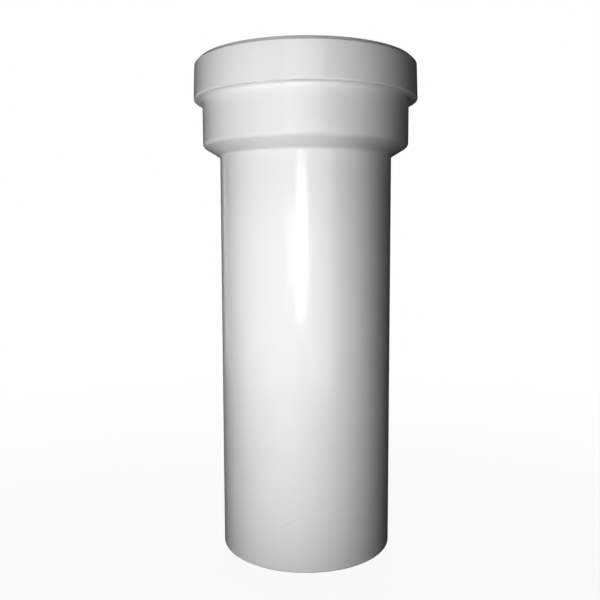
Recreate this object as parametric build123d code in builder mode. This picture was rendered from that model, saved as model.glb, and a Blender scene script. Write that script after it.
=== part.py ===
from build123d import *

import os
from math import atan2, radians, tan

# A straight toilet pan connector, standing on its spigot end.
# The origin is the centre of the spigot end and +Z runs up the axis to the socket's mouth.
# Sizes are in millimetres.

# Spigot pipe, which pushes into the drain
spigot_diameter = 110.0
spigot_length = 253.0
wall = 3.0

# Sloping shoulder and the socket above it, which takes the pan's outlet
shoulder_rise = 6.5
socket_diameter = 131.5
socket_length = 28.5

# Collar round the socket's mouth, widest at its lower edge, which houses the seal
collar_diameter = 142.5
collar_height = 24.0
collar_draft = 2.0  # degrees
rim_thickness = 3.0
rim_chamfer = 2.6
retaining_lip = 3.0

# Roundings of the moulding
spigot_end_round = 1.0
shoulder_root_round = 2.0
socket_edge_round = 3.0
collar_root_round = 1.5
collar_edge_round = 0.8
rim_round = 0.8
inside_round = 0.8

# Lip seal, seated on the ledge inside the collar
seal_clearance = 0.2
seal_base_thickness = 6.0
seal_round = 0.8
lip_count = 2
lip_bore = 94.0
lip_drop = 1.3
lip_pitch = 9.0
lip_fall = 8.5
lip_root_thickness = 3.0
lip_tip_thickness = 2.0
lip_root_round = 0.8
lip_tip_round = 0.4

# Radii of the body
spigot_radius = spigot_diameter / 2
spigot_bore_radius = spigot_radius - wall
socket_radius = socket_diameter / 2
socket_bore_radius = socket_radius - wall
collar_radius = collar_diameter / 2
rim_radius = collar_radius - collar_height * tan(radians(collar_draft))
chamfer_radius = rim_radius + rim_chamfer * tan(radians(collar_draft))
groove_radius = rim_radius - wall
mouth_radius = groove_radius - retaining_lip

# Levels of the body. The shoulder's inside stands higher than its outside, so that the slope is one wall thick.
shoulder_top = spigot_length + shoulder_rise
collar_base = shoulder_top + socket_length
rim_top = collar_base + collar_height
shoulder_slope = atan2(socket_radius - spigot_radius, shoulder_rise)
shoulder_lift = wall * tan(shoulder_slope / 2)
ledge_level = collar_base + wall
groove_top = rim_top - rim_thickness

# Corners of the body's section, up the outside and down the inside: radius, level, rounding
body_corners = [
    (spigot_radius, 0, spigot_end_round),
    (spigot_radius, spigot_length, shoulder_root_round),
    (socket_radius, shoulder_top, socket_edge_round),
    (socket_radius, collar_base, collar_root_round),
    (collar_radius, collar_base, collar_edge_round),
    (chamfer_radius, rim_top - rim_chamfer, rim_round),
    (rim_radius - rim_chamfer, rim_top, rim_round),
    (mouth_radius, rim_top, inside_round),
    (mouth_radius, groove_top, inside_round),
    (groove_radius, groove_top, inside_round),
    (groove_radius, ledge_level, inside_round),
    (socket_bore_radius, ledge_level, inside_round),
    (socket_bore_radius, shoulder_top + shoulder_lift, inside_round),
    (spigot_bore_radius, spigot_length + shoulder_lift, shoulder_root_round + wall),
    (spigot_bore_radius, 0, inside_round),
]

# Body: pipe, shoulder, socket and collar, moulded in one piece
with BuildPart() as connector_body:
    with BuildSketch(Plane.XZ):
        with BuildLine():
            FilletPolyline(
                [(radius, level) for radius, level, _ in body_corners],
                radius=[rounding for _, _, rounding in body_corners],
                close=True,
            )
        make_face()
    revolve(axis=Axis.Z)

# The seal's base fills the collar's groove between the ledge and the retaining lip
seal_outer_radius = groove_radius - seal_clearance
seal_inner_radius = seal_outer_radius - seal_base_thickness
seal_top = groove_top - seal_clearance
lip_bore_radius = lip_bore / 2

# Corners of the seal's section, round the base and down over each lip: radius, level, rounding
seal_corners = [
    (seal_outer_radius, ledge_level, seal_round),
    (seal_outer_radius, seal_top, seal_round),
    (seal_inner_radius, seal_top, seal_round),
]
for lip in range(lip_count):
    root_level = seal_top - lip_drop - lip * lip_pitch
    tip_level = root_level - lip_fall
    seal_corners += [
        (seal_inner_radius, root_level, lip_root_round),
        (lip_bore_radius, tip_level, lip_tip_round),
        (lip_bore_radius, tip_level - lip_tip_thickness, lip_tip_round),
        (seal_inner_radius, root_level - lip_root_thickness, lip_root_round),
    ]
seal_corners.append((seal_inner_radius, ledge_level, seal_round))

# Seal: a base ring with lips that slope down and in to grip the pan's outlet
with BuildPart() as lip_seal:
    with BuildSketch(Plane.XZ):
        with BuildLine():
            FilletPolyline(
                [(radius, level) for radius, level, _ in seal_corners],
                radius=[rounding for _, _, rounding in seal_corners],
                close=True,
            )
        make_face()
    revolve(axis=Axis.Z)

connector_body.part.label = "connector_body"
lip_seal.part.label = "lip_seal"

os.makedirs("parts", exist_ok=True)
export_step(connector_body.part, "parts/connector_body.step")
export_step(lip_seal.part, "parts/lip_seal.step")
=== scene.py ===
"""Looks of a straight toilet pan connector: a glossy white moulding with a rubber lip seal in its socket."""

import logging
import math
from dataclasses import dataclass, field
from enum import Enum
from typing import Any, ClassVar

import bmesh
import bpy
from mathutils import Matrix, Vector


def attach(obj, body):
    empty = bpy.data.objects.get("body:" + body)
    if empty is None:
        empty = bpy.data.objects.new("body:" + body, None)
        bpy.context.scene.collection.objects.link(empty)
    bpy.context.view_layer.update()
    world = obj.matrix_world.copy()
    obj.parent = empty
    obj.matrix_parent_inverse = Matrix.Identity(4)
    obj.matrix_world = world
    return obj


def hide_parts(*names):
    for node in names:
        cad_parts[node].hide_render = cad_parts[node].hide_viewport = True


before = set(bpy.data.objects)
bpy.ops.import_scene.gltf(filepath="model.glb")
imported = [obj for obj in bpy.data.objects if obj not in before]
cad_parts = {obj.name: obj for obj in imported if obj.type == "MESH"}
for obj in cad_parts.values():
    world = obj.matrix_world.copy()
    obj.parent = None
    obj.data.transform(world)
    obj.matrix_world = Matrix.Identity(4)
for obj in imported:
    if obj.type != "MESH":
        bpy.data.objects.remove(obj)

LOG = logging.getLogger("pan_connector")
MM = 0.001
WHITE = "#FFFFFF"

# Nearly all of a noise texture's values lie between these
NOISE_LOW, NOISE_HIGH = 0.3, 0.7

# A Mix node's sockets for colours, by number, because its other kinds of value have the same names
MIX_SHARE, MIX_FIRST, MIX_SECOND, MIX_RESULT = 0, 6, 7, 2


def linear(colour: str) -> tuple[float, float, float, float]:
    """Turn an sRGB hex colour into Blender's linear one.

    Args:
        colour: The colour as "#RRGGBB".

    Returns:
        Linear red, green and blue, with full alpha.
    """
    channels = [int(colour[place:place + 2], 16) / 255 for place in (1, 3, 5)]
    # The sRGB curve, which is straight near black
    red, green, blue = (c / 12.92 if c <= 0.04045 else ((c + 0.055) / 1.055) ** 2.4 for c in channels)
    return red, green, blue, 1.0


def add_node(tree: bpy.types.NodeTree, kind: str, inputs: dict[Any, Any], **settings: Any) -> bpy.types.Node:
    """Add one node to a tree.

    Args:
        tree: The node tree that gets it.
        kind: The node's type.
        inputs: A value, or another node's output, for each input named or numbered.
        **settings: The node's own properties.

    Returns:
        The new node.
    """
    node = tree.nodes.new(kind)
    for name, value in settings.items():
        setattr(node, name, value)
    for place, value in inputs.items():
        if isinstance(value, bpy.types.NodeSocket):
            tree.links.new(value, node.inputs[place])
        else:
            node.inputs[place].default_value = value
    return node


def new_material(name: str) -> tuple[bpy.types.Material, bpy.types.NodeTree]:
    """Make a material with an empty node tree.

    Args:
        name: What the real material is.

    Returns:
        The material and its tree.
    """
    material = bpy.data.materials.new(name)
    material.use_nodes = True
    material.node_tree.nodes.clear()
    return material, material.node_tree


def background_rays(tree: bpy.types.NodeTree) -> bpy.types.NodeSocket:
    """Mark the rays that should meet plain white: those of the camera, of reflections and through glass.

    Args:
        tree: The tree that gets the nodes.

    Returns:
        An output that is 1 for such a ray and 0 for one that carries light.
    """
    path = add_node(tree, "ShaderNodeLightPath", {})
    mirror = add_node(
        tree, "ShaderNodeMath", {0: path.outputs["Is Glossy Ray"], 1: path.outputs["Is Transmission Ray"]},
        operation="MAXIMUM",
    )
    seen = add_node(
        tree, "ShaderNodeMath", {0: path.outputs["Is Camera Ray"], 1: mirror.outputs[0]}, operation="MAXIMUM",
    )
    return seen.outputs[0]


@dataclass(frozen=True)
class MouldedPolypropylene:
    """White polypropylene from a polished mould: glossy, neutral, and slightly uneven where it shrank."""

    name: str = "white moulded polypropylene"
    colour: str = "#EFEFEF"
    deep_colour: str = "#EBEBEB"
    ior: float = 1.49
    smooth: float = 0.09
    hazy: float = 0.12
    tone_size: float = 45 * MM
    haze_size: float = 14 * MM
    sink_size: float = 38 * MM
    sink_depth: float = 0.03 * MM
    skin_size: float = 1.6 * MM
    skin_depth: float = 0.0015 * MM

    def material(self) -> bpy.types.Material:
        """Make the finish.

        Returns:
            The material, whose patterns follow the piece's own place.
        """
        material, tree = new_material(self.name)
        place = add_node(tree, "ShaderNodeTexCoord", {}).outputs["Object"]

        # Pigment that isn't quite even gives a large white face its life
        tone = add_node(
            tree, "ShaderNodeTexNoise", {"Vector": place, "Scale": 1 / self.tone_size, "Detail": 2.0},
        )
        colour = add_node(
            tree, "ShaderNodeMix",
            {MIX_SHARE: tone.outputs["Fac"], MIX_FIRST: linear(self.deep_colour),
             MIX_SECOND: linear(self.colour)},
            data_type="RGBA",
        )

        # The mould's polish varies, so the gloss is a little hazier in places
        haze = add_node(
            tree, "ShaderNodeTexNoise", {"Vector": place, "Scale": 1 / self.haze_size, "Detail": 3.0},
        )
        gloss = add_node(
            tree, "ShaderNodeMapRange",
            {"Value": haze.outputs["Fac"], "From Min": NOISE_LOW, "From Max": NOISE_HIGH,
             "To Min": self.smooth, "To Max": self.hazy},
        )

        # Broad shrinkage bends the highlights, and a fine skin breaks up their edges
        sink = add_node(
            tree, "ShaderNodeTexNoise", {"Vector": place, "Scale": 1 / self.sink_size, "Detail": 1.0},
        )
        broad = add_node(
            tree, "ShaderNodeBump",
            {"Height": sink.outputs["Fac"], "Distance": self.sink_depth, "Strength": 1.0},
        )
        skin = add_node(
            tree, "ShaderNodeTexNoise", {"Vector": place, "Scale": 1 / self.skin_size, "Detail": 1.0},
        )
        fine = add_node(
            tree, "ShaderNodeBump",
            {"Height": skin.outputs["Fac"], "Distance": self.skin_depth, "Strength": 1.0,
             "Normal": broad.outputs["Normal"]},
        )
        surface = add_node(
            tree, "ShaderNodeBsdfPrincipled",
            {"Base Color": colour.outputs[MIX_RESULT], "Roughness": gloss.outputs["Result"], "IOR": self.ior,
             "Normal": fine.outputs["Normal"]},
        )
        add_node(tree, "ShaderNodeOutputMaterial", {"Surface": surface.outputs["BSDF"]})
        return material


@dataclass(frozen=True)
class MouldedRubber:
    """Black filled rubber from a blasted mould: satin, with a fine grain and a trace of grey bloom."""

    name: str = "black moulded seal rubber"
    colour: str = "#1D1D1E"
    bloom_colour: str = "#2A2A2B"
    ior: float = 1.52
    smooth: float = 0.42
    hazy: float = 0.60
    bloom_size: float = 18 * MM
    grain_size: float = 0.9 * MM
    grain_depth: float = 0.02 * MM

    def material(self) -> bpy.types.Material:
        """Make the finish.

        Returns:
            The material, whose patterns follow the piece's own place.
        """
        material, tree = new_material(self.name)
        place = add_node(tree, "ShaderNodeTexCoord", {}).outputs["Object"]

        # Bloom that has come to the surface greys the black and dulls its sheen, in patches
        bloom = add_node(
            tree, "ShaderNodeTexNoise", {"Vector": place, "Scale": 1 / self.bloom_size, "Detail": 4.0},
        )
        colour = add_node(
            tree, "ShaderNodeMix",
            {MIX_SHARE: bloom.outputs["Fac"], MIX_FIRST: linear(self.colour),
             MIX_SECOND: linear(self.bloom_colour)},
            data_type="RGBA",
        )
        gloss = add_node(
            tree, "ShaderNodeMapRange",
            {"Value": bloom.outputs["Fac"], "From Min": NOISE_LOW, "From Max": NOISE_HIGH,
             "To Min": self.smooth, "To Max": self.hazy},
        )

        # The blasted mould's grain spreads the highlights. The real grain is finer than one that shows here.
        grain = add_node(
            tree, "ShaderNodeTexNoise", {"Vector": place, "Scale": 1 / self.grain_size, "Detail": 2.0},
        )
        bump = add_node(
            tree, "ShaderNodeBump",
            {"Height": grain.outputs["Fac"], "Distance": self.grain_depth, "Strength": 1.0},
        )
        surface = add_node(
            tree, "ShaderNodeBsdfPrincipled",
            {"Base Color": colour.outputs[MIX_RESULT], "Roughness": gloss.outputs["Result"], "IOR": self.ior,
             "Normal": bump.outputs["Normal"]},
        )
        add_node(tree, "ShaderNodeOutputMaterial", {"Surface": surface.outputs["BSDF"]})
        return material


@dataclass(frozen=True)
class StudioPaper:
    """Matt white paper, which the camera sees as white, or a little less near the object, for its shadow."""

    name: str = "white studio paper"
    colour: str = "#D8D8D8"
    whiteness: float = 0.93
    near: float = 0.15
    far: float = 0.60

    def material(self) -> bpy.types.Material:
        """Make the finish.

        Returns:
            The material.
        """
        material, tree = new_material(self.name)
        place = add_node(tree, "ShaderNodeTexCoord", {}).outputs["Object"]
        away = add_node(tree, "ShaderNodeVectorMath", {0: place}, operation="LENGTH")
        whiter = add_node(
            tree, "ShaderNodeMapRange",
            {"Value": away.outputs["Value"], "From Min": self.near, "From Max": self.far,
             "To Min": self.whiteness, "To Max": 1.0},
            interpolation_type="SMOOTHSTEP",
        )
        share = add_node(
            tree, "ShaderNodeMath", {0: background_rays(tree), 1: whiter.outputs["Result"]},
            operation="MULTIPLY",
        )
        paper = add_node(tree, "ShaderNodeBsdfDiffuse", {"Color": linear(self.colour)})
        white = add_node(tree, "ShaderNodeEmission", {"Color": linear(WHITE), "Strength": 1.0})
        surface = add_node(
            tree, "ShaderNodeMixShader",
            {0: share.outputs[0], 1: paper.outputs["BSDF"], 2: white.outputs["Emission"]},
        )
        add_node(tree, "ShaderNodeOutputMaterial", {"Surface": surface.outputs["Shader"]})
        return material


@dataclass(frozen=True)
class TentCloth:
    """Dark cloth in dim light, which a glossy white object shows as its grey edges."""

    name: str = "dark tent cloth"
    glow: str = "#242424"

    def material(self) -> bpy.types.Material:
        """Make the finish.

        Returns:
            The material.
        """
        material, tree = new_material(self.name)
        cloth = add_node(tree, "ShaderNodeEmission", {"Color": linear(self.glow), "Strength": 1.0})
        add_node(tree, "ShaderNodeOutputMaterial", {"Surface": cloth.outputs["Emission"]})
        return material


@dataclass(frozen=True)
class Corner:
    """A corner of a turned section: its distance from the axis, its level and its rounding, in metres."""

    radius: float
    level: float
    rounding: float = 0.0

    def point(self) -> Vector:
        """Give the corner's place in the section."""
        return Vector((self.radius, self.level))


@dataclass
class TurnedPiece:
    """A piece that is round about Z: a closed section drawn out ring by ring, then bevelled at its corners.

    An edge that turns by more than the sharp angle stays sharp. Points closer than the touch are one place.
    """

    NAME: ClassVar[str]
    NODE: ClassVar[str]
    SLOT: ClassVar[str]
    FINISH: ClassVar[MouldedPolypropylene | MouldedRubber]

    segments: int = 256
    rounding_steps: int = 6
    longest_step: float = 12 * MM
    sharp_angle: float = math.radians(50)
    touch: float = 0.001 * MM

    def corners(self) -> list[Corner]:
        """List the corners of the section, in order round it."""
        raise NotImplementedError

    def build(self) -> bpy.types.Object:
        """Model and dress the piece.

        Returns:
            The finished piece.
        """
        piece = self.turn()
        self.smooth(piece)
        self.dress(piece)
        return piece

    def turn(self) -> bpy.types.Object:
        """Model the piece from its corners.

        Returns:
            The closed mesh object, at the origin, in object mode.
        """
        corners = self.corners()
        first, last = corners[0], corners[-1]
        bpy.ops.object.select_all(action="DESELECT")
        bpy.ops.mesh.primitive_circle_add(
            vertices=self.segments, radius=first.radius, location=(0, 0, first.level),
        )
        piece = bpy.context.object
        piece.name = piece.data.name = self.NAME
        bpy.ops.object.transform_apply(location=True)
        bpy.ops.object.mode_set(mode="EDIT")
        bpy.ops.mesh.select_all(action="SELECT")
        for start, end in zip(corners, corners[1:]):
            self.draw_out(start, end)
        self.select_rings(piece, first, last)
        bpy.ops.mesh.bridge_edge_loops()
        for before, corner, after in zip([last] + corners, corners, corners[1:] + [first]):
            self.round_off(piece, before, corner, after)
        bpy.ops.mesh.select_all(action="SELECT")
        bpy.ops.mesh.normals_make_consistent(inside=False)
        bpy.ops.object.mode_set(mode="OBJECT")
        return piece

    def draw_out(self, start: Corner, end: Corner) -> None:
        """Extrude the selected ring from one corner to the next, in steps short enough for even faces.

        Args:
            start: The corner that the selected ring is at.
            end: The corner to reach.
        """
        steps = max(1, math.ceil((end.point() - start.point()).length / self.longest_step))
        radius = start.radius
        for step in range(1, steps + 1):
            wider = start.radius + (end.radius - start.radius) * step / steps
            bpy.ops.mesh.extrude_edges_move(
                TRANSFORM_OT_translate={"value": (0, 0, (end.level - start.level) / steps)},
            )
            bpy.ops.transform.resize(value=(wider / radius, wider / radius, 1), center_override=(0, 0, 0))
            radius = wider

    def select_rings(self, piece: bpy.types.Object, *corners: Corner) -> None:
        """Select only the rings of edges that run round the given corners.

        Args:
            piece: The object in edit mode.
            *corners: The corners whose rings are wanted.
        """
        bpy.ops.mesh.select_all(action="DESELECT")
        mesh = bmesh.from_edit_mesh(piece.data)
        for edge in mesh.edges:
            ends = [Vector((math.hypot(vertex.co.x, vertex.co.y), vertex.co.z)) for vertex in edge.verts]
            for corner in corners:
                if all((end - corner.point()).length < self.touch for end in ends):
                    edge.select_set(True)
        bmesh.update_edit_mesh(piece.data)

    def round_off(self, piece: bpy.types.Object, before: Corner, corner: Corner, after: Corner) -> None:
        """Bevel one corner's ring to its rounding.

        Args:
            piece: The object in edit mode.
            before: The corner before it in the section.
            corner: The corner to round.
            after: The corner after it.
        """
        if not corner.rounding:
            return
        turn = (corner.point() - before.point()).angle(after.point() - corner.point())
        self.select_rings(piece, corner)
        bpy.ops.mesh.bevel(
            offset=corner.rounding * math.tan(turn / 2), offset_type="OFFSET", segments=self.rounding_steps,
            profile=0.5, affect="EDGES", clamp_overlap=False,
        )

    def smooth(self, piece: bpy.types.Object) -> None:
        """Shade the piece smooth, with each normal led by the largest faces beside it.

        Args:
            piece: The piece, in object mode.
        """
        bpy.ops.object.select_all(action="DESELECT")
        piece.select_set(True)
        bpy.context.view_layer.objects.active = piece
        bpy.ops.object.shade_smooth_by_angle(angle=self.sharp_angle)
        weighted = piece.modifiers.new("even shading", "WEIGHTED_NORMAL")
        weighted.keep_sharp = True
        bpy.ops.object.modifier_apply(modifier=weighted.name)

    def dress(self, piece: bpy.types.Object) -> None:
        """Give the piece its finish, hang it on the root body and hide the CAD part that it replaces.

        Args:
            piece: The modelled piece.
        """
        piece.data.materials.append(self.FINISH.material())
        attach(piece, "root")
        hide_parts(self.NODE)


@dataclass
class ConnectorBody(TurnedPiece):
    """The moulding: spigot pipe, sloping shoulder, socket and the collar that houses the seal."""

    NAME: ClassVar[str] = "connector_moulding"
    NODE: ClassVar[str] = "connector_body"
    SLOT: ClassVar[str] = "white_plastic"
    FINISH: ClassVar[MouldedPolypropylene] = MouldedPolypropylene()

    # The section, from the spigot's end up to the rim
    spigot_radius: float = 55 * MM
    wall: float = 3 * MM
    spigot_length: float = 253 * MM
    shoulder_rise: float = 6.5 * MM
    socket_radius: float = 65.75 * MM
    socket_length: float = 28.5 * MM
    collar_radius: float = 71.25 * MM
    collar_height: float = 24 * MM
    collar_draft: float = math.radians(2)
    rim_thickness: float = 3 * MM
    rim_chamfer: float = 2.6 * MM
    retaining_lip: float = 3 * MM

    # Roundings of its corners
    spigot_end_round: float = 1.0 * MM
    shoulder_root_round: float = 2.0 * MM
    socket_edge_round: float = 3.0 * MM
    collar_root_round: float = 1.5 * MM
    collar_edge_round: float = 0.8 * MM
    rim_round: float = 0.8 * MM
    inside_round: float = 0.8 * MM

    # The mark of the mould's gate, and how finely the patch of wall round it is cut up
    gate_level: float = 29.7 * MM
    gate_azimuth: float = math.radians(-11.3)
    gate_radius: float = 2.2 * MM
    gate_depth: float = 0.40 * MM
    gate_patch: float = 2.9 * MM
    gate_upright_cuts: int = 23
    gate_level_cuts: int = 4

    @property
    def shoulder_top(self) -> float:
        """Level at which the shoulder's slope reaches the socket's wall."""
        return self.spigot_length + self.shoulder_rise

    @property
    def collar_base(self) -> float:
        """Level of the collar's flat underside."""
        return self.shoulder_top + self.socket_length

    @property
    def rim_top(self) -> float:
        """Level of the socket's mouth."""
        return self.collar_base + self.collar_height

    @property
    def groove_radius(self) -> float:
        """Radius of the groove that the seal sits in."""
        return self.collar_radius - self.collar_height * math.tan(self.collar_draft) - self.wall

    @property
    def groove_top(self) -> float:
        """Level of the retaining lip's underside, which closes the groove."""
        return self.rim_top - self.rim_thickness

    @property
    def ledge(self) -> float:
        """Level of the ledge that the seal stands on."""
        return self.collar_base + self.wall

    def corners(self) -> list[Corner]:
        """List the corners of the section.

        Returns:
            The corners, up the outside and down the inside.
        """
        bore = self.spigot_radius - self.wall
        socket_bore = self.socket_radius - self.wall
        rim_radius = self.groove_radius + self.wall
        chamfer_radius = rim_radius + self.rim_chamfer * math.tan(self.collar_draft)
        mouth = self.groove_radius - self.retaining_lip
        # The shoulder's inside stands higher than its outside, so that the slope is one wall thick
        slope = math.atan2(self.socket_radius - self.spigot_radius, self.shoulder_rise)
        lift = self.wall * math.tan(slope / 2)
        return [
            Corner(self.spigot_radius, 0, self.spigot_end_round),
            Corner(self.spigot_radius, self.gate_level - self.gate_patch),
            Corner(self.spigot_radius, self.gate_level + self.gate_patch),
            Corner(self.spigot_radius, self.spigot_length, self.shoulder_root_round),
            Corner(self.socket_radius, self.shoulder_top, self.socket_edge_round),
            Corner(self.socket_radius, self.collar_base, self.collar_root_round),
            Corner(self.collar_radius, self.collar_base, self.collar_edge_round),
            Corner(chamfer_radius, self.rim_top - self.rim_chamfer, self.rim_round),
            Corner(rim_radius - self.rim_chamfer, self.rim_top, self.rim_round),
            Corner(mouth, self.rim_top, self.inside_round),
            Corner(mouth, self.groove_top, self.inside_round),
            Corner(self.groove_radius, self.groove_top, self.inside_round),
            Corner(self.groove_radius, self.ledge, self.inside_round),
            Corner(socket_bore, self.ledge, self.inside_round),
            Corner(socket_bore, self.shoulder_top + lift, self.inside_round),
            Corner(bore, self.spigot_length + lift, self.shoulder_root_round + self.wall),
            Corner(bore, 0, self.inside_round),
        ]

    def turn(self) -> bpy.types.Object:
        """Model the moulding from its corners, with its gate mark.

        Returns:
            The mesh object, in object mode.
        """
        piece = super().turn()
        self.press_gate_mark(piece)
        return piece

    def press_gate_mark(self, piece: bpy.types.Object) -> None:
        """Press in the small round mark that the mould's gate left low on the front of the pipe.

        Args:
            piece: The moulding, in object mode.
        """
        outward = Vector((math.sin(self.gate_azimuth), -math.cos(self.gate_azimuth), 0))
        centre = outward * self.spigot_radius + Vector((0, 0, self.gate_level))
        bpy.ops.object.mode_set(mode="EDIT")
        bpy.ops.mesh.select_mode(type="EDGE")
        for upright, cuts in ((True, self.gate_upright_cuts), (False, self.gate_level_cuts)):
            self.select_patch(piece, centre, upright)
            bpy.ops.mesh.subdivide(number_cuts=cuts)
        bpy.ops.mesh.select_mode(type="VERT")
        bpy.ops.mesh.select_all(action="DESELECT")
        mesh = bmesh.from_edit_mesh(piece.data)
        min(mesh.verts, key=lambda vertex: (vertex.co - centre).length).select_set(True)
        bmesh.update_edit_mesh(piece.data)
        bpy.ops.transform.translate(
            value=outward * -self.gate_depth, use_proportional_edit=True, proportional_edit_falloff="SMOOTH",
            proportional_size=self.gate_radius,
        )
        bpy.ops.object.mode_set(mode="OBJECT")

    def select_patch(self, piece: bpy.types.Object, centre: Vector, upright: bool) -> None:
        """Select the edges of the pipe's outside close to a point, either the upright ones or the level ones.

        Args:
            piece: The object in edit mode.
            centre: The point, on the pipe's outside.
            upright: Whether the upright edges are wanted.
        """
        bpy.ops.mesh.select_all(action="DESELECT")
        mesh = bmesh.from_edit_mesh(piece.data)
        reach = self.gate_patch + self.touch
        for edge in mesh.edges:
            low, high = (vertex.co - centre for vertex in edge.verts)
            near = all(abs(end.z) < reach and end.xy.length < reach for end in (low, high))
            if near and (abs(low.z - high.z) > self.touch) == upright:
                edge.select_set(True)
        bmesh.update_edit_mesh(piece.data)


@dataclass
class LipSeal(TurnedPiece):
    """The rubber seal: a base ring in the collar's groove, with lips that slope down and in."""

    NAME: ClassVar[str] = "rubber_lip_seal"
    NODE: ClassVar[str] = "lip_seal"
    SLOT: ClassVar[str] = "seal_rubber"
    FINISH: ClassVar[MouldedRubber] = MouldedRubber()

    body: ConnectorBody = field(default_factory=ConnectorBody)
    clearance: float = 0.2 * MM
    base_thickness: float = 6 * MM
    base_round: float = 0.8 * MM
    lip_count: int = 2
    bore_radius: float = 47 * MM
    lip_drop: float = 1.3 * MM
    lip_pitch: float = 9 * MM
    lip_fall: float = 8.5 * MM
    root_thickness: float = 3 * MM
    tip_thickness: float = 2 * MM
    root_round: float = 0.8 * MM
    tip_round: float = 0.4 * MM
    sharp_angle: float = math.radians(35)

    def corners(self) -> list[Corner]:
        """List the corners of the section.

        Returns:
            The corners, up the outside, across the top and down over each lip.
        """
        outer = self.body.groove_radius - self.clearance
        inner = outer - self.base_thickness
        foot = self.body.ledge
        top = self.body.groove_top - self.clearance
        outline = [
            Corner(outer, foot, self.base_round),
            Corner(outer, top, self.base_round),
            Corner(inner, top, self.base_round),
        ]
        for lip in range(self.lip_count):
            root = top - self.lip_drop - lip * self.lip_pitch
            tip = root - self.lip_fall
            outline += [
                Corner(inner, root, self.root_round),
                Corner(self.bore_radius, tip, self.tip_round),
                Corner(self.bore_radius, tip - self.tip_thickness, self.tip_round),
                Corner(inner, root - self.root_thickness, self.root_round),
            ]
        return outline + [Corner(inner, foot, self.base_round)]


class LampTask(Enum):
    """What a lamp is there for: even shading, or the shine that the gloss shows."""

    SHADING = "shading"
    SHINE = "shine"


@dataclass(frozen=True)
class Softbox:
    """A soft lamp that faces the object's axis, square on, unless its rise turns it up.

    Its azimuth is in degrees to the right of the camera's side, and its sizes are in metres. Its lean and
    rise are in degrees, and so is its spread, which a grid over the lamp narrows.
    """

    name: str
    task: LampTask
    azimuth: float
    distance: float
    level: float
    watts: float
    width: float = 0.12
    height: float = 0.12
    lean: float = 0.0
    rise: float = 0.0
    spread: float = 180.0

    def hang(self) -> None:
        """Add the lamp to the scene."""
        turn = math.radians(self.azimuth)
        light = bpy.data.lights.new(self.name, "AREA")
        light.shape = "RECTANGLE"
        light.size = self.width
        light.size_y = self.height
        light.energy = self.watts
        light.spread = math.radians(self.spread)
        lamp = bpy.data.objects.new(self.name, light)
        bpy.context.scene.collection.objects.link(lamp)
        lamp.location = (self.distance * math.sin(turn), -self.distance * math.cos(turn), self.level)
        lamp.rotation_euler = (math.radians(90 + self.rise), math.radians(self.lean), turn)
        lamp.visible_camera = False
        lamp.visible_diffuse = self.task is LampTask.SHADING
        lamp.visible_glossy = self.task is LampTask.SHINE


@dataclass(frozen=True)
class MouthSpot:
    """A narrow spot above the socket, whose pool of light ends inside its rim.

    Its azimuth is as a softbox's, its tilt is in degrees from upright, and its reach is the pool's radius.
    """

    name: str
    azimuth: float
    tilt: float
    reach: float
    watts: float
    distance: float = 0.8
    aim_level: float = 0.31
    edge_blend: float = 0.02
    lamp_radius: float = 2 * MM

    def hang(self) -> None:
        """Add the lamp to the scene."""
        turn = math.radians(self.azimuth)
        tilt = math.radians(self.tilt)
        light = bpy.data.lights.new(self.name, "SPOT")
        light.energy = self.watts
        light.spot_size = 2 * math.atan2(self.reach, self.distance)
        light.spot_blend = self.edge_blend
        light.shadow_soft_size = self.lamp_radius
        lamp = bpy.data.objects.new(self.name, light)
        bpy.context.scene.collection.objects.link(lamp)
        away = Vector((math.sin(tilt) * math.sin(turn), -math.sin(tilt) * math.cos(turn), math.cos(tilt)))
        lamp.location = Vector((0, 0, self.aim_level)) + away * self.distance
        lamp.rotation_euler = (tilt, 0, turn)


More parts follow.
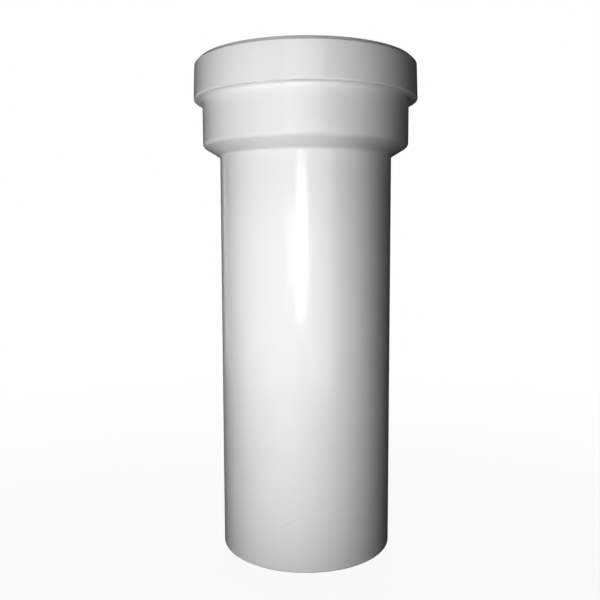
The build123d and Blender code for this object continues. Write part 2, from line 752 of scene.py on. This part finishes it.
@dataclass
class Studio:
    """Floor, lamps, a dim tent for light and reflections alone, and white surroundings for the camera."""

    floor_size: float = 6.0
    world_grey: str = "#101010"
    paper: StudioPaper = field(default_factory=StudioPaper)
    cloth: TentCloth = field(default_factory=TentCloth)
    tent_size: float = 2.4
    tent_lift: float = 0.5 * MM

    # The numbers are a softbox's azimuth, distance, level and watts, and a spot's azimuth, tilt, reach and
    # watts
    lamps: tuple[Softbox | MouthSpot, ...] = (
        # Soft light on the front, and on the shoulder and the collar's underside from panels on the floor
        Softbox("key_softbox", LampTask.SHADING, -25, 0.30, 0.27, 0.2545),
        Softbox("collar_softbox", LampTask.SHADING, -10, 0.30, 0.27, 0.262),
        Softbox("foot_softbox", LampTask.SHADING, -20, 0.30, 0.06, 0.160),
        Softbox("foot_grid", LampTask.SHADING, -10, 0.30, 0.06, 0.024, spread=50),
        Softbox("pipe_grid", LampTask.SHADING, -20, 0.45, 0.17, 0.0104, spread=15),
        Softbox("front_panel", LampTask.SHADING, -15, 0.105, 0.002, 0.010, height=0.09, rise=90, spread=15),
        Softbox("left_panel", LampTask.SHADING, -55, 0.105, 0.002, 0.005, height=0.09, rise=90, spread=15),
        # Soft light on the edges and the back
        Softbox("right_edge_softbox", LampTask.SHADING, 130, 0.60, 0.36, 0.22),
        Softbox("left_edge_softbox", LampTask.SHADING, -150, 0.45, 0.10, 0.55),
        Softbox("back_left_softbox", LampTask.SHADING, -175, 0.60, 0.36, 1.22),
        Softbox("back_right_softbox", LampTask.SHADING, 167, 0.60, 0.34, 1.22),
        # What the gloss shows
        Softbox("back_strip", LampTask.SHINE, 180, 0.60, 0.20, 0.30, width=0.06, height=0.24),
        Softbox("shine_block", LampTask.SHINE, -10, 0.473, 0.188, 0.22, width=0.235, height=0.10),
        Softbox("shine_strip", LampTask.SHINE, -5.5, 0.467, 0.1975, 0.36, width=0.10, height=0.185, lean=4),
        Softbox("shine_side", LampTask.SHINE, 17, 0.45, 0.17, 0.30, width=0.26, height=0.30),
        Softbox("shine_left", LampTask.SHINE, -132, 0.50, 0.17, 0.06, width=0.10, height=0.26),
        Softbox("shine_top", LampTask.SHINE, -2, 0.45, 0.38, 0.16, width=0.28, height=0.14),
        # Light in the socket
        MouthSpot("mouth_spot", 0, 0, 67.5 * MM, 18),
        MouthSpot("front_mouth_spot", 0, 28, 50 * MM, 16),
        MouthSpot("back_mouth_spot", 180, 28, 50 * MM, 16),
    )

    def build(self) -> None:
        """Set up everything round the object."""
        self.lay_floor()
        self.raise_tent()
        self.light_world()
        for lamp in self.lamps:
            lamp.hang()

    def lay_floor(self) -> None:
        """Lay the paper that the object stands on."""
        bpy.ops.object.select_all(action="DESELECT")
        bpy.ops.mesh.primitive_plane_add(size=self.floor_size)
        floor = bpy.context.object
        floor.name = "studio_floor"
        floor.data.materials.append(self.paper.material())

    def raise_tent(self) -> None:
        """Raise a dim tent over the object, lamps and camera, unseen by the camera and without a shadow."""
        bpy.ops.object.select_all(action="DESELECT")
        bpy.ops.mesh.primitive_cube_add(size=self.tent_size)
        tent = bpy.context.object
        tent.name = "dark_tent"
        bpy.ops.object.mode_set(mode="EDIT")
        bpy.ops.transform.translate(value=(0, 0, self.tent_size / 2 + self.tent_lift))
        bpy.ops.object.mode_set(mode="OBJECT")
        tent.data.materials.append(self.cloth.material())
        tent.visible_camera = False
        tent.visible_shadow = False

    def light_world(self) -> None:
        """Make the surroundings dim for light, and white for the camera and for reflections."""
        world = bpy.data.worlds.new("studio surroundings")
        world.use_nodes = True
        tree = world.node_tree
        tree.nodes.clear()
        dim = add_node(tree, "ShaderNodeBackground", {"Color": linear(self.world_grey), "Strength": 1.0})
        white = add_node(tree, "ShaderNodeBackground", {"Color": linear(WHITE), "Strength": 1.0})
        mixed = add_node(
            tree, "ShaderNodeMixShader",
            {0: background_rays(tree), 1: dim.outputs["Background"], 2: white.outputs["Background"]},
        )
        add_node(tree, "ShaderNodeOutputWorld", {"Surface": mixed.outputs["Shader"]})
        bpy.context.scene.world = world


@dataclass
class PhotoCamera:
    """A camera at the photograph's place, which was worked out from the object's outline.

    Its sensor is in millimetres, its distance, height and nearest sight in metres, and its angles in radians.
    """

    frame_pixels: float = 600.0
    focal_pixels: float = 707.26
    sensor: float = 36.0
    distance: float = 0.4649
    height: float = 0.20285
    nearest: float = 0.01
    pitch: float = -0.0904
    yaw: float = -0.0083
    roll: float = -0.0026

    def build(self) -> None:
        """Make the camera and look through it."""
        data = bpy.data.cameras.new("photo_camera")
        data.sensor_width = self.sensor
        data.lens = self.focal_pixels / self.frame_pixels * self.sensor
        data.clip_start = self.nearest
        camera = bpy.data.objects.new("photo_camera", data)
        bpy.context.scene.collection.objects.link(camera)
        level = Matrix.Rotation(-self.yaw, 4, "Z") @ Matrix.Rotation(math.pi / 2 + self.pitch, 4, "X")
        place = Matrix.Translation((0, -self.distance, self.height))
        camera.matrix_world = place @ level @ Matrix.Rotation(self.roll, 4, "Z")
        bpy.context.scene.camera = camera


def main() -> None:
    """Build the connector, the studio and the camera, and log what was made."""
    logging.basicConfig(level=logging.INFO, format="%(name)s: %(message)s")
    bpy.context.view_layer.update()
    LOG.info("frame holds %s", ", ".join(sorted(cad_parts)))
    body = ConnectorBody()
    for part in (body, LipSeal(body=body)):
        piece = part.build()
        LOG.info("%s: %d faces, stands for %s", piece.name, len(piece.data.polygons), part.NODE)
    Studio().build()
    LOG.info("studio is lit")
    PhotoCamera().build()
    LOG.info("camera is placed")
    bpy.context.scene.view_settings.view_transform = "Standard"


if __name__ == "__main__":
    main()
